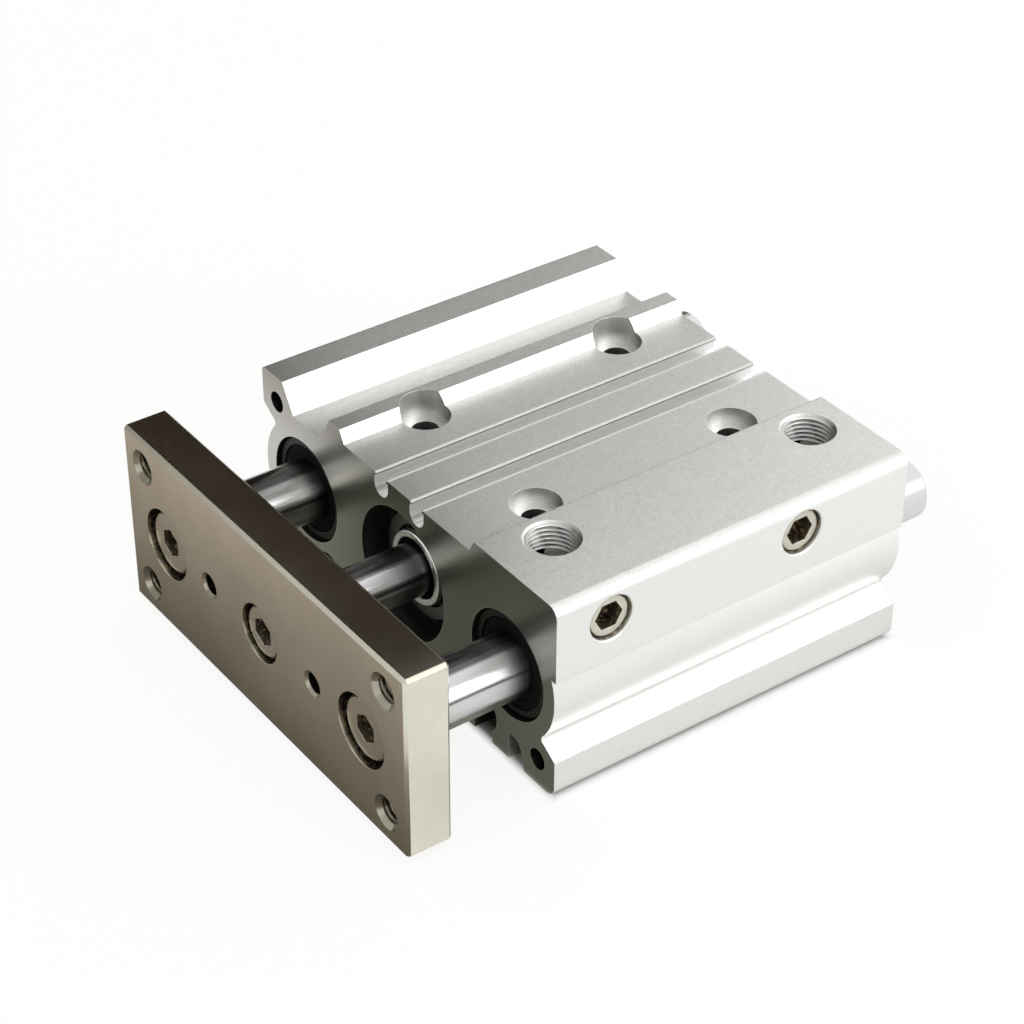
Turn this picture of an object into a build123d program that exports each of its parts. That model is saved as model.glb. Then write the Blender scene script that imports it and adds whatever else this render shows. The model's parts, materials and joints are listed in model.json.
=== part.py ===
from build123d import *
import math
import os

os.makedirs("parts", exist_ok=True)

# Guided pneumatic cylinder, millimetres. X runs across the body, Y from the tooling plate to the rear,
# Z up. The origin is the centre of the underside face that the body is bolted down on.
# A depth is measured along Y from the front face of the body, and a height from the underside.

# Travel
stroke = 40.0
rest_extension = 14.8
end_clearance = 0.1

# Body section
body_width = 91.8
body_height = 40.5
guide_inset = 13.9
tube_wall = 3.1
corner_round = 2.2
ear_round = 0.9
notch_round = 0.9
ear_height = 7.8
ear_slope = 33.0
side_ledge_rise = 4.9
deck_drop = 2.5
deck_left = -18.1
deck_right = 20.9
deck_slope = 60.0
ridge_width = 3.5
channel_width = 15.8
channel_drop = 5.8
channel_slope = 60.0

# Grooves that run the length of the body
sensor_bulb_radius = 2.15
sensor_neck = 3.2
sensor_depth = 4.35
sensor_lip = 0.6
sensor_lip_chamfer = 0.3
sensor_pitch = 11.1
sensor_centre = -0.6
slot_offset = 25.0
slot_head_radius = 4.0
slot_neck = 5.4
slot_depth = 9.6
relief_inner = 32.6
relief_depth = 5.6
relief_flat = 1.4
relief_width = 4.2

# Cylinder bore and its two covers
bore_radius = 12.5
cover_bore_radius = 13.1
cover_clearance = 0.03
nose_depth = 4.1
nose_radius = 10.4
flange_start = 6.8
flange_length = 4.2
spigot_radius = 11.6
spigot_length = 5.5
head_spigot_length = 2.7
head_flange_length = 3.5
head_recess = 2.3
head_dish_radius = 8.0
head_dish_depth = 0.8

# Retaining rings
ring_thickness = 1.1
ring_groove_width = 1.2
ring_groove_step = 0.9
ring_band = 2.1
ring_gap_angle = 46.0
ring_lug_radius = 1.2
ring_lug_sink = 0.1
ring_eye_radius = 0.6

# O rings
o_ring_section = 1.5
o_ring_groove_width = 1.9
o_ring_clearance = 0.03

# Piston rod, its bush, seal and wiper
rod_radius = 5.0
rod_clearance = 0.03
rod_passage_clearance = 0.4
bush_wall = 1.0
bush_length = 5.0
rod_seal_radius = 7.4
rod_seal_width = 2.4
rod_seal_start = 8.4
pocket_radius = 8.0
pocket_depth = 1.1
wiper_radius = 7.45
wiper_front = 2.6
wiper_length = 4.8
wiper_lip_opening = 5.9
wiper_wall = 0.7
wiper_round = 0.55

# Piston
piston_length = 12.3
bumper_thickness = 1.5
bumper_radius = 10.4
bumper_hole = 6.0
piston_clearance = 0.3
piston_groove_bottom = 10.3
seal_groove_width = 2.6
wear_groove_width = 4.2
piston_land = 0.9
magnet_inner = 8.8
magnet_outer = 10.9
wear_thickness = 1.2
wear_slit = 1.0
rod_spigot_radius = 3.5
rod_spigot_length = 5.0
piston_screw_radius = 2.0
piston_screw_head = 3.8
piston_screw_head_height = 2.4
piston_screw_reach = 9.0

# Guide rods and ball bushings
guide_radius = 6.0
guide_tail = 15.0
guide_chamfer = 1.0
bushing_radius = 10.5
bushing_length = 30.0
bushing_recess = 0.8
bushing_fit = 0.02
guide_bore_step = 1.0
ball_radius = 1.19
ball_running_clearance = 0.02
ball_rows = 4
balls_per_row = 5
ball_pitch = 4.4
cage_clearance = 0.35
end_ring_depth = 1.6
end_seal_thickness = 1.0
end_seal_radius = 8.75

# Tooling plate
plate_margin = 0.5
plate_height = 38.0
plate_thickness = 9.0
plate_edge_chamfer = 0.6
retracted_gap = 6.0
plate_tap_inset_x = 6.4
plate_tap_inset_z = 6.0
plate_tap_radius = 2.5
plate_tap_mouth = 3.4
plate_pin_pitch = 34.0
plate_pin_radius = 2.0
plate_pin_mouth = 2.5
rod_bolt_radius = 3.0
rod_bolt_head_radius = 5.0
rod_bolt_head_height = 5.0
rod_bolt_counterbore = 5.7
rod_bolt_hex = 5.0
guide_bolt_radius = 4.0
guide_bolt_head_radius = 6.0
guide_bolt_head_height = 4.4
guide_bolt_counterbore = 7.0
guide_bolt_hex = 5.0
rod_bolt_recess = 0.7
guide_bolt_recess = 0.9
bolt_reach = 14.0
bolt_head_chamfer = 0.4
bolt_hole_clearance = 0.3
thread_clearance = 0.05

# Ports, side plugs and air passages
port_inset = 16.9
front_port_depth = 11.5
rear_port_inset = 9.0
port_radius = 4.85
port_mouth = 5.2
port_floor = 6.3
side_port_rise = 13.7
side_front_depth = 11.5
side_rear_inset = 24.2
side_port_radius = 4.45
side_port_mouth = 4.7
side_port_floor = 7.4
plug_length = 5.6
plug_recess = 0.9
plug_chamfer = 0.5
plug_hex = 5.0
plug_hex_depth = 3.2
passage_radius = 1.1
passage_fall = 25.0
passage_shift = 0.9
passage_rise = 3.0
cross_passage_radius = 1.6
long_passage_inset = 13.9
long_passage_rise = 14.5
ball_seat = 1.2

# Body mounting holes
mount_pitch_x = 34.0
mount_pitch_y = 44.0
mount_centre = -0.6
mount_front_depth = 17.3
mount_radius = 2.6
mount_counterbore = 4.75
mount_counterbore_depth = 3.0
corner_tap_inset_x = 4.9
corner_tap_inset_z = 5.5
corner_tap_radius = 2.1
corner_tap_depth = 15.0
dowel_radius = 2.0
dowel_depth = 5.0
dowel_pitch = 44.0

# Places that follow from the sizes above
front_zone = flange_start + flange_length + spigot_length
rear_zone = head_spigot_length + head_flange_length + head_recess
body_length = front_zone + piston_length + stroke + 2 * end_clearance + rear_zone
front_y = -body_length / 2
rear_y = body_length / 2
axis_z = body_height / 2
deck_z = body_height - deck_drop
guide_x = body_width / 2 - guide_inset
port_x = body_width / 2 - port_inset
long_passage_x = body_width / 2 - long_passage_inset
tube_radius = bushing_radius + tube_wall
plate_gap = retracted_gap + rest_extension
plate_width = body_width - 2 * plate_margin
plate_tap_pitch_x = plate_width - 2 * plate_tap_inset_x
plate_tap_pitch_z = plate_height - 2 * plate_tap_inset_z
corner_pitch_x = body_width - 2 * corner_tap_inset_x
corner_pitch_z = body_height - 2 * corner_tap_inset_z
piston_start = body_length - rear_zone - end_clearance - piston_length - rest_extension
cover_shoulder = flange_start + flange_length
head_start = body_length - rear_zone
head_shoulder = head_start + head_spigot_length
rear_port_depth = body_length - rear_port_inset
side_rear_depth = body_length - side_rear_inset
cover_radius = cover_bore_radius - cover_clearance


def cross_plane(depth):
    """A plane across the body, facing the front, at a depth behind the front face."""
    return Plane.XZ.offset(-front_y - depth)


def axial_plane(x):
    """A plane for turned profiles: along is the depth, up is the radius, at one rod line."""
    return Plane(origin=(x, front_y, axis_z), x_dir=(0, 1, 0), z_dir=(1, 0, 0))


def turning_axis(x):
    return Axis((x, front_y, axis_z), (0, 1, 0))


def height(rise):
    """A height above the underside from a rise above the rod line."""
    return axis_z + rise


def save(piece, label):
    piece.part.label = label
    export_step(piece.part, "parts/" + label + ".step")


# Housing: the extruded section first, then the bores, ports and passages that are machined into it
side = body_width / 2
ear_run = (side - guide_x) * 0.65
ear_z = ear_height
notch_rise = ear_run * math.tan(math.radians(ear_slope))
notch_inner = side - ear_run
ledge_z = height(side_ledge_rise)
channel_left = deck_left - ridge_width - deck_drop / math.tan(math.radians(deck_slope)) - channel_width
channel_right = channel_left + channel_width
channel_run = channel_drop / math.tan(math.radians(channel_slope))
deck_run = deck_drop / math.tan(math.radians(deck_slope))
over = 1.0
channel_over = over / math.tan(math.radians(channel_slope))
deck_over = over / math.tan(math.radians(deck_slope))

with BuildPart() as housing:
    with BuildSketch(cross_plane(0)) as section:
        with Locations((0, axis_z)):
            Rectangle(body_width, body_height)
        ear_corner = section.vertices().sort_by(Axis.X)[:2].sort_by(Axis.Y)[-1]
        fillet(ear_corner, ear_round)
        square_corners = section.vertices().filter_by(
            lambda v: abs(abs(v.X) - side) < 0.01 and min(abs(v.Y), abs(v.Y - body_height)) < 0.01
        )
        fillet(square_corners, corner_round)
        with BuildLine():
            Polyline(
                (side + over, ear_z),
                (side, ear_z),
                (notch_inner, ear_z + notch_rise),
                (notch_inner, ledge_z),
                (side + over, ledge_z),
                close=True,
            )
        make_face(mode=Mode.SUBTRACT)
        with BuildLine():
            Polyline(
                (-side - over, ear_z),
                (-side, ear_z),
                (-notch_inner, ear_z + notch_rise),
                (-notch_inner, body_height - ear_z - notch_rise),
                (-side, body_height - ear_z),
                (-side - over, body_height - ear_z),
                close=True,
            )
        make_face(mode=Mode.SUBTRACT)
        with Locations((-guide_x, axis_z), (guide_x, axis_z)):
            Circle(tube_radius)
        # The sunken deck between the ridge and the port side
        with BuildLine():
            Polyline(
                (deck_left, deck_z),
                (deck_right, deck_z),
                (deck_right + deck_run + deck_over, body_height + over),
                (deck_left - deck_run - deck_over, body_height + over),
                close=True,
            )
        make_face(mode=Mode.SUBTRACT)
        # The V channel over the left guide rod
        with BuildLine():
            Polyline(
                (channel_left - channel_over, body_height + over),
                (channel_left + channel_run, body_height - channel_drop),
                (channel_right - channel_run, body_height - channel_drop),
                (channel_right + channel_over, body_height + over),
                close=True,
            )
        make_face(mode=Mode.SUBTRACT)
        # Two round-bottomed grooves for position sensors, undercut below thin lips
        for middle in (sensor_centre - sensor_pitch / 2, sensor_centre + sensor_pitch / 2):
            with Locations((middle, deck_z - sensor_depth + sensor_bulb_radius)):
                Circle(sensor_bulb_radius, mode=Mode.SUBTRACT)
            with Locations((middle, deck_z)):
                Rectangle(
                    sensor_neck,
                    sensor_depth - sensor_bulb_radius,
                    align=(Align.CENTER, Align.MAX),
                    mode=Mode.SUBTRACT,
                )
            with Locations((middle, deck_z - sensor_lip)):
                Rectangle(
                    2 * sensor_bulb_radius,
                    sensor_depth - sensor_bulb_radius - sensor_lip,
                    align=(Align.CENTER, Align.MAX),
                    mode=Mode.SUBTRACT,
                )
            half_mouth = sensor_neck / 2 + sensor_lip_chamfer
            with BuildLine():
                Polyline(
                    (middle - half_mouth, deck_z),
                    (middle - sensor_neck / 2, deck_z - sensor_lip_chamfer),
                    (middle + sensor_neck / 2, deck_z - sensor_lip_chamfer),
                    (middle + half_mouth, deck_z),
                    close=True,
                )
            make_face(mode=Mode.SUBTRACT)
        # Two round-headed mounting slots in the underside
        for middle in (-slot_offset, slot_offset):
            with Locations((middle, slot_depth - slot_head_radius)):
                Circle(slot_head_radius, mode=Mode.SUBTRACT)
            with Locations((middle, 0)):
                Rectangle(
                    slot_neck,
                    slot_depth - slot_head_radius,
                    align=(Align.CENTER, Align.MIN),
                    mode=Mode.SUBTRACT,
                )
        # Relief grooves beside the corner ears, straight on the inner side and curved on the outer
        for way in (-1, 1):
            with BuildLine():
                inner_wall = Line((way * relief_inner, -over), (way * relief_inner, relief_depth))
                crown = Line(inner_wall @ 1, (way * (relief_inner + relief_flat), relief_depth))
                shoulder = (way * (relief_inner + relief_width * 0.9), relief_depth * 0.55)
                bend = TangentArc(crown @ 1, shoulder, tangent=crown % 1)
                outer_wall = Line(bend @ 1, (way * (relief_inner + relief_width * 1.15), -over))
                Line(outer_wall @ 1, inner_wall @ 0)
            make_face(mode=Mode.SUBTRACT)
        # Cored corner holes: the port side's upper corner is drilled from the rear only
        with Locations(
            (-corner_pitch_x / 2, height(corner_pitch_z / 2)),
            (-corner_pitch_x / 2, height(-corner_pitch_z / 2)),
            (corner_pitch_x / 2, height(-corner_pitch_z / 2)),
        ):
            Circle(corner_tap_radius, mode=Mode.SUBTRACT)
    extrude(amount=-body_length)
    # The tubes round the guide bores run softly into the slopes of the ears
    for line in housing.edges().filter_by(Axis.Y):
        spot = line.center()
        rise = abs(spot.Z - axis_z)
        on_tube = abs(math.hypot(abs(spot.X) - guide_x, rise) - tube_radius) < 0.01
        if on_tube and abs(spot.X) > guide_x and rise > 1.2 * side_ledge_rise:
            fillet(line, notch_round)
    with BuildSketch(cross_plane(body_length)):
        with Locations((corner_pitch_x / 2, height(corner_pitch_z / 2))):
            Circle(corner_tap_radius)
    extrude(amount=corner_tap_depth, mode=Mode.SUBTRACT)

    # Cylinder bore, the wider bores for both covers and their retaining ring grooves
    with BuildSketch(axial_plane(0)):
        with BuildLine():
            groove_radius = cover_bore_radius + ring_groove_step
            front_groove = flange_start - ring_groove_width
            rear_groove = head_shoulder + head_flange_length
            Polyline(
                (-over, 0),
                (-over, cover_bore_radius),
                (front_groove, cover_bore_radius),
                (front_groove, groove_radius),
                (flange_start, groove_radius),
                (flange_start, cover_bore_radius),
                (cover_shoulder, cover_bore_radius),
                (cover_shoulder, bore_radius),
                (head_shoulder, bore_radius),
                (head_shoulder, cover_bore_radius),
                (rear_groove, cover_bore_radius),
                (rear_groove, groove_radius),
                (rear_groove + ring_groove_width, groove_radius),
                (rear_groove + ring_groove_width, cover_bore_radius),
                (body_length + over, cover_bore_radius),
                (body_length + over, 0),
                close=True,
            )
        make_face()
    revolve(axis=turning_axis(0), mode=Mode.SUBTRACT)

    # Guide bores: a seat for a ball bushing at each end and a narrower middle between them
    seat_length = bushing_recess + bushing_length
    for x in (-guide_x, guide_x):
        with BuildSketch(axial_plane(x)):
            with BuildLine():
                Polyline(
                    (-over, 0),
                    (-over, bushing_radius),
                    (seat_length, bushing_radius),
                    (seat_length, bushing_radius - guide_bore_step),
                    (body_length - seat_length, bushing_radius - guide_bore_step),
                    (body_length - seat_length, bushing_radius),
                    (body_length + over, bushing_radius),
                    (body_length + over, 0),
                    close=True,
                )
            make_face()
        revolve(axis=turning_axis(x), mode=Mode.SUBTRACT)

    # Four counterbored screw holes, tapped at the underside
    mount_y = front_y + mount_front_depth + mount_pitch_y / 2
    with Locations((mount_centre, mount_y, deck_z)):
        with GridLocations(mount_pitch_x, mount_pitch_y, 2, 2):
            CounterBoreHole(mount_radius, mount_counterbore, mount_counterbore_depth, body_height + over)

    # Two dowel holes in the underside
    with BuildSketch(Plane.XY):
        with Locations((mount_centre, mount_y)):
            with GridLocations(1, dowel_pitch, 1, 2):
                Circle(dowel_radius)
    extrude(amount=dowel_depth, mode=Mode.SUBTRACT)

    # Top ports, each with a slanting passage to the end of the bore
    for port_depth in (front_port_depth, rear_port_depth):
        with Locations((port_x, front_y + port_depth, body_height)):
            CounterSinkHole(port_radius, port_mouth, port_floor, counter_sink_angle=90)
        passage_y = front_y + port_depth + passage_shift
        if port_depth == rear_port_depth:
            passage_y = front_y + head_start + passage_radius
        fall = math.radians(passage_fall)
        passage_z = body_height - port_floor + passage_rise
        with BuildSketch(
            Plane(
                origin=(port_x, passage_y, passage_z),
                z_dir=(-math.cos(fall), 0, -math.sin(fall)),
            )
        ):
            Circle(passage_radius)
        extrude(amount=(port_x - bore_radius * 0.7) / math.cos(fall), mode=Mode.SUBTRACT)

    # Side ports with their cross passages towards the top ports
    side_port_z = height(side_port_rise)
    port_wall = port_x + 0.8 * port_radius
    for port_depth, reach in ((side_front_depth, port_wall), (side_rear_depth, long_passage_x)):
        mouth = Plane(origin=(side, front_y + port_depth, side_port_z), x_dir=(0, 1, 0), z_dir=(1, 0, 0))
        with Locations(mouth):
            CounterSinkHole(side_port_radius, side_port_mouth, side_port_floor, counter_sink_angle=90)
        with BuildSketch(mouth):
            Circle(cross_passage_radius)
        extrude(amount=reach - side, mode=Mode.SUBTRACT)

    # The passage along the body that feeds the rear side port, drilled from the rear
    with BuildSketch(cross_plane(body_length)):
        with Locations((long_passage_x, height(long_passage_rise))):
            Circle(cross_passage_radius)
    extrude(amount=side_rear_inset, mode=Mode.SUBTRACT)
save(housing, "housing")

# Steel ball that closes the passage at the rear
with BuildPart() as passage_ball:
    ball_r = cross_passage_radius - bushing_fit
    with Locations((long_passage_x, rear_y - ball_r - ball_seat, height(long_passage_rise))):
        Sphere(ball_r)
save(passage_ball, "passage_ball")


def turned(x, points):
    """A closed outline of (depth, radius) points turned about one rod line."""
    with BuildPart() as piece:
        with BuildSketch(axial_plane(x)):
            with BuildLine():
                Polyline(*points, close=True)
            make_face()
        revolve(axis=turning_axis(x))
    return piece


# Rod cover: nose, flange with its O ring groove, and spigot, bored for wiper, seal and bush
seal_end = rod_seal_start + rod_seal_width
bush_start = front_zone - bush_length
o_ring_bottom = cover_bore_radius - o_ring_section
cover_groove = flange_start + (flange_length - o_ring_groove_width) / 2
rod_hole = rod_radius + rod_passage_clearance
rod_cover = turned(
    0,
    [
        (nose_depth, pocket_radius),
        (nose_depth, nose_radius),
        (flange_start, nose_radius),
        (flange_start, cover_radius),
        (cover_groove, cover_radius),
        (cover_groove, o_ring_bottom),
        (cover_groove + o_ring_groove_width, o_ring_bottom),
        (cover_groove + o_ring_groove_width, cover_radius),
        (cover_shoulder, cover_radius),
        (cover_shoulder, spigot_radius),
        (front_zone, spigot_radius),
        (front_zone, rod_radius + bush_wall),
        (bush_start, rod_radius + bush_wall),
        (bush_start, rod_hole),
        (seal_end, rod_hole),
        (seal_end, rod_seal_radius),
        (rod_seal_start, rod_seal_radius),
        (rod_seal_start, rod_hole),
        (wiper_front + wiper_length, rod_hole),
        (wiper_front + wiper_length, wiper_radius),
        (nose_depth + pocket_depth, wiper_radius),
        (nose_depth + pocket_depth, pocket_radius),
    ],
)
save(rod_cover, "rod_cover")

rod_bush = turned(
    0,
    [
        (bush_start + cover_clearance, rod_radius + rod_clearance),
        (bush_start + cover_clearance, rod_radius + bush_wall - cover_clearance),
        (front_zone, rod_radius + bush_wall - cover_clearance),
        (front_zone, rod_radius + rod_clearance),
    ],
)
save(rod_bush, "rod_bush")

# Rod seal: a U section, its two lips open towards the pressure
lip = rod_radius + rod_clearance
seal_outer = rod_seal_radius - cover_clearance
seal_mid = (lip + seal_outer) / 2
rod_seal = turned(
    0,
    [
        (rod_seal_start + cover_clearance, lip + 0.25),
        (rod_seal_start + cover_clearance, seal_outer - 0.15),
        (seal_end - cover_clearance, seal_outer),
        (seal_end - cover_clearance, seal_outer - 0.6),
        (rod_seal_start + rod_seal_width * 0.45, seal_mid),
        (seal_end - cover_clearance, lip + 0.6),
        (seal_end - cover_clearance, lip),
    ],
)
save(rod_seal, "rod_seal")

# Wiper: a bright pressed case with rounded front edges, and a rubber lip inside it
with BuildPart() as wiper_case:
    case_outer = wiper_radius - cover_clearance
    case_end = wiper_front + wiper_length - cover_clearance
    with BuildSketch(axial_plane(0)) as case_profile:
        with BuildLine():
            Polyline(
                (wiper_front, wiper_lip_opening),
                (wiper_front, case_outer),
                (case_end, case_outer),
                (case_end, case_outer - wiper_wall),
                (wiper_front + 2 * wiper_round, case_outer - wiper_wall),
                (wiper_front + 2 * wiper_round, wiper_lip_opening),
                close=True,
            )
        make_face()
        fillet(case_profile.vertices().group_by(Axis.X)[0], wiper_round)
    revolve(axis=turning_axis(0))
save(wiper_case, "wiper_case")

rubber_start = wiper_front + 2 * wiper_round + cover_clearance
rubber_outer = wiper_radius - wiper_wall - 2 * cover_clearance
wiper_lip = turned(
    0,
    [
        (rubber_start, wiper_lip_opening + 0.2),
        (rubber_start, rubber_outer),
        (wiper_front + wiper_length - 2 * cover_clearance, rubber_outer),
        (wiper_front + wiper_length - 2 * cover_clearance, lip + 0.9),
        (rubber_start + 1.2, lip + 0.9),
        (rubber_start + 0.5, lip),
        (rubber_start - 0.4, lip),
        (rubber_start - 0.4, lip + 0.3),
        (rubber_start + 0.2, lip + 0.75),
    ],
)
save(wiper_lip, "wiper_lip")


def o_ring(depth):
    """An O ring that lies on the bottom of a cover groove centred at a depth."""
    with BuildPart() as piece:
        with BuildSketch(axial_plane(0)):
            with Locations((depth, cover_bore_radius - o_ring_section / 2)):
                Circle(o_ring_section / 2 - o_ring_clearance)
        revolve(axis=turning_axis(0))
    return piece


rod_cover_o_ring = o_ring(cover_groove + o_ring_groove_width / 2)
save(rod_cover_o_ring, "rod_cover_o_ring")


def retaining_ring(depth):
    """An inside retaining ring with a gap at the top and two eyed lugs, its front at a depth."""
    outer = cover_bore_radius + ring_groove_step - o_ring_clearance
    inner = outer - ring_band
    lug_reach = inner - ring_lug_sink
    with BuildPart() as piece:
        with BuildSketch(cross_plane(depth)):
            with Locations((0, axis_z)):
                Circle(outer)
                Circle(inner, mode=Mode.SUBTRACT)
            half = math.radians(ring_gap_angle / 2)
            far = 2 * outer
            with BuildLine():
                Polyline(
                    (0, axis_z),
                    (far * math.sin(half), axis_z + far * math.cos(half)),
                    (-far * math.sin(half), axis_z + far * math.cos(half)),
                    close=True,
                )
            make_face(mode=Mode.SUBTRACT)
            lug_angle = half + ring_lug_radius / lug_reach
            for way in (-1, 1):
                spot = (way * lug_reach * math.sin(lug_angle), axis_z + lug_reach * math.cos(lug_angle))
                with Locations(spot):
                    Circle(ring_lug_radius)
                    Circle(ring_eye_radius, mode=Mode.SUBTRACT)
        extrude(amount=-ring_thickness)
    return piece


front_ring_depth = flange_start - ring_groove_width + (ring_groove_width - ring_thickness) / 2
front_retaining_ring = retaining_ring(front_ring_depth)
save(front_retaining_ring, "front_retaining_ring")

# Head cover, its O ring and its retaining ring close the rear of the bore
head_groove = head_shoulder + (head_flange_length - o_ring_groove_width) / 2
head_end = head_shoulder + head_flange_length
head_cover = turned(
    0,
    [
        (head_start, 0),
        (head_start, spigot_radius),
        (head_shoulder, spigot_radius),
        (head_shoulder, cover_radius),
        (head_groove, cover_radius),
        (head_groove, o_ring_bottom),
        (head_groove + o_ring_groove_width, o_ring_bottom),
        (head_groove + o_ring_groove_width, cover_radius),
        (head_end, cover_radius),
        (head_end, head_dish_radius),
        (head_end - head_dish_depth, head_dish_radius),
        (head_end - head_dish_depth, 0),
    ],
)
save(head_cover, "head_cover")

head_cover_o_ring = o_ring(head_groove + o_ring_groove_width / 2)
save(head_cover_o_ring, "head_cover_o_ring")

rear_retaining_ring = retaining_ring(head_end + (ring_groove_width - ring_thickness) / 2)
save(rear_retaining_ring, "rear_retaining_ring")

# Piston with a seal groove in front and a deeper magnet groove under the wear ring behind
body_start = piston_start + bumper_thickness
body_end = piston_start + piston_length - bumper_thickness
piston_radius = bore_radius - piston_clearance
seal_groove = body_start + piston_land
wear_groove = seal_groove + seal_groove_width + piston_land
rod_end = body_start + rod_spigot_length
screw_seat = body_end - piston_screw_head_height - 0.3
head_pocket = piston_screw_head + 0.3
bore_fit = thread_clearance
piston = turned(
    0,
    [
        (body_start, rod_spigot_radius + bore_fit),
        (body_start, piston_radius),
        (seal_groove, piston_radius),
        (seal_groove, piston_groove_bottom),
        (seal_groove + seal_groove_width, piston_groove_bottom),
        (seal_groove + seal_groove_width, piston_radius),
        (wear_groove, piston_radius),
        (wear_groove, magnet_inner),
        (wear_groove + wear_groove_width, magnet_inner),
        (wear_groove + wear_groove_width, piston_radius),
        (body_end, piston_radius),
        (body_end, head_pocket),
        (screw_seat, head_pocket),
        (screw_seat, piston_screw_radius + bore_fit),
        (rod_end, piston_screw_radius + bore_fit),
        (rod_end, rod_spigot_radius + bore_fit),
    ],
)
save(piston, "piston")

seal_lip_radius = bore_radius - rod_clearance
piston_seal = turned(
    0,
    [
        (seal_groove + 0.1, piston_groove_bottom + cover_clearance),
        (seal_groove + 0.1, seal_lip_radius),
        (seal_groove + 0.7, seal_lip_radius),
        (seal_groove + seal_groove_width / 2, bore_radius - 0.7),
        (seal_groove + seal_groove_width - 0.7, seal_lip_radius),
        (seal_groove + seal_groove_width - 0.1, seal_lip_radius),
        (seal_groove + seal_groove_width - 0.1, piston_groove_bottom + cover_clearance),
    ],
)
save(piston_seal, "piston_seal")

magnet_ring = turned(
    0,
    [
        (wear_groove + 0.1, magnet_inner + cover_clearance),
        (wear_groove + 0.1, magnet_outer),
        (wear_groove + wear_groove_width - 0.1, magnet_outer),
        (wear_groove + wear_groove_width - 0.1, magnet_inner + cover_clearance),
    ],
)
save(magnet_ring, "magnet_ring")

with BuildPart() as wear_ring:
    wear_outer = bore_radius - rod_clearance
    wear_inner = magnet_outer + cover_clearance
    with BuildSketch(cross_plane(wear_groove + 0.1)):
        with Locations((0, axis_z)):
            Circle(wear_outer)
            Circle(max(wear_inner, wear_outer - wear_thickness), mode=Mode.SUBTRACT)
        with Locations((0, axis_z - bore_radius)):
            Rectangle(wear_slit, 2 * wear_thickness + 2, mode=Mode.SUBTRACT)
    extrude(amount=-(wear_groove_width - 0.2))
save(wear_ring, "wear_ring")


def bumper(start):
    return turned(
        0,
        [
            (start, bumper_hole),
            (start, bumper_radius),
            (start + bumper_thickness, bumper_radius),
            (start + bumper_thickness, bumper_hole),
        ],
    )


front_bumper = bumper(piston_start)
save(front_bumper, "front_bumper")
rear_bumper = bumper(body_end)
save(rear_bumper, "rear_bumper")


def socket_screw(x, head_front, head_radius, head_height, shank_radius, shank_length, hex_flats, way=1):
    """A hexagon socket screw; way is 1 when it points to the rear and -1 when it points forward."""
    hex_depth = head_height * 0.55
    with BuildPart() as piece:
        with BuildSketch(axial_plane(x)):
            with BuildLine():
                Polyline(
                    (head_front, 0),
                    (head_front, head_radius - bolt_head_chamfer),
                    (head_front + way * bolt_head_chamfer, head_radius),
                    (head_front + way * head_height, head_radius),
                    (head_front + way * head_height, shank_radius),
                    (head_front + way * (head_height + shank_length - 0.6), shank_radius),
                    (head_front + way * (head_height + shank_length), shank_radius - 0.6),
                    (head_front + way * (head_height + shank_length), 0),
                    close=True,
                )
            make_face()
        revolve(axis=turning_axis(x))
        with BuildSketch(cross_plane(head_front)):
            with Locations((x, axis_z)):
                RegularPolygon(hex_flats / 2, 6, major_radius=False, rotation=30)
        extrude(amount=-way * hex_depth, mode=Mode.SUBTRACT)
    return piece


piston_screw = socket_screw(
    0,
    screw_seat + piston_screw_head_height,
    piston_screw_head,
    piston_screw_head_height,
    piston_screw_radius,
    piston_screw_reach,
    2.5,
    way=-1,
)
save(piston_screw, "piston_screw")

# Piston rod: butts on the plate in front and carries the piston on a spigot behind
plate_back = -plate_gap
plate_front = plate_back - plate_thickness
piston_rod = turned(
    0,
    [
        (plate_back, rod_bolt_radius + thread_clearance),
        (plate_back, rod_radius - 0.5),
        (plate_back + 0.5, rod_radius),
        (body_start, rod_radius),
        (body_start, rod_spigot_radius),
        (rod_end, rod_spigot_radius),
        (rod_end, piston_screw_radius + thread_clearance),
        (screw_seat - piston_screw_reach - 1.0, piston_screw_radius + thread_clearance),
        (screw_seat - piston_screw_reach - 1.0, 0),
        (plate_back + bolt_reach + 2.0, 0),
        (plate_back + bolt_reach + 2.0, rod_bolt_radius + thread_clearance),
    ],
)
save(piston_rod, "piston_rod")

# Guide rods
for name, x in (("guide_rod_left", -guide_x), ("guide_rod_right", guide_x)):
    guide_end = body_length + guide_tail
    guide_rod = turned(
        x,
        [
            (plate_back, guide_bolt_radius + thread_clearance),
            (plate_back, guide_radius - 0.5),
            (plate_back + 0.5, guide_radius),
            (guide_end - guide_chamfer, guide_radius),
            (guide_end, guide_radius - guide_chamfer),
            (guide_end, 0),
            (plate_back + bolt_reach + 2.0, 0),
            (plate_back + bolt_reach + 2.0, guide_bolt_radius + thread_clearance),
        ],
    )
    save(guide_rod, name)

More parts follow.
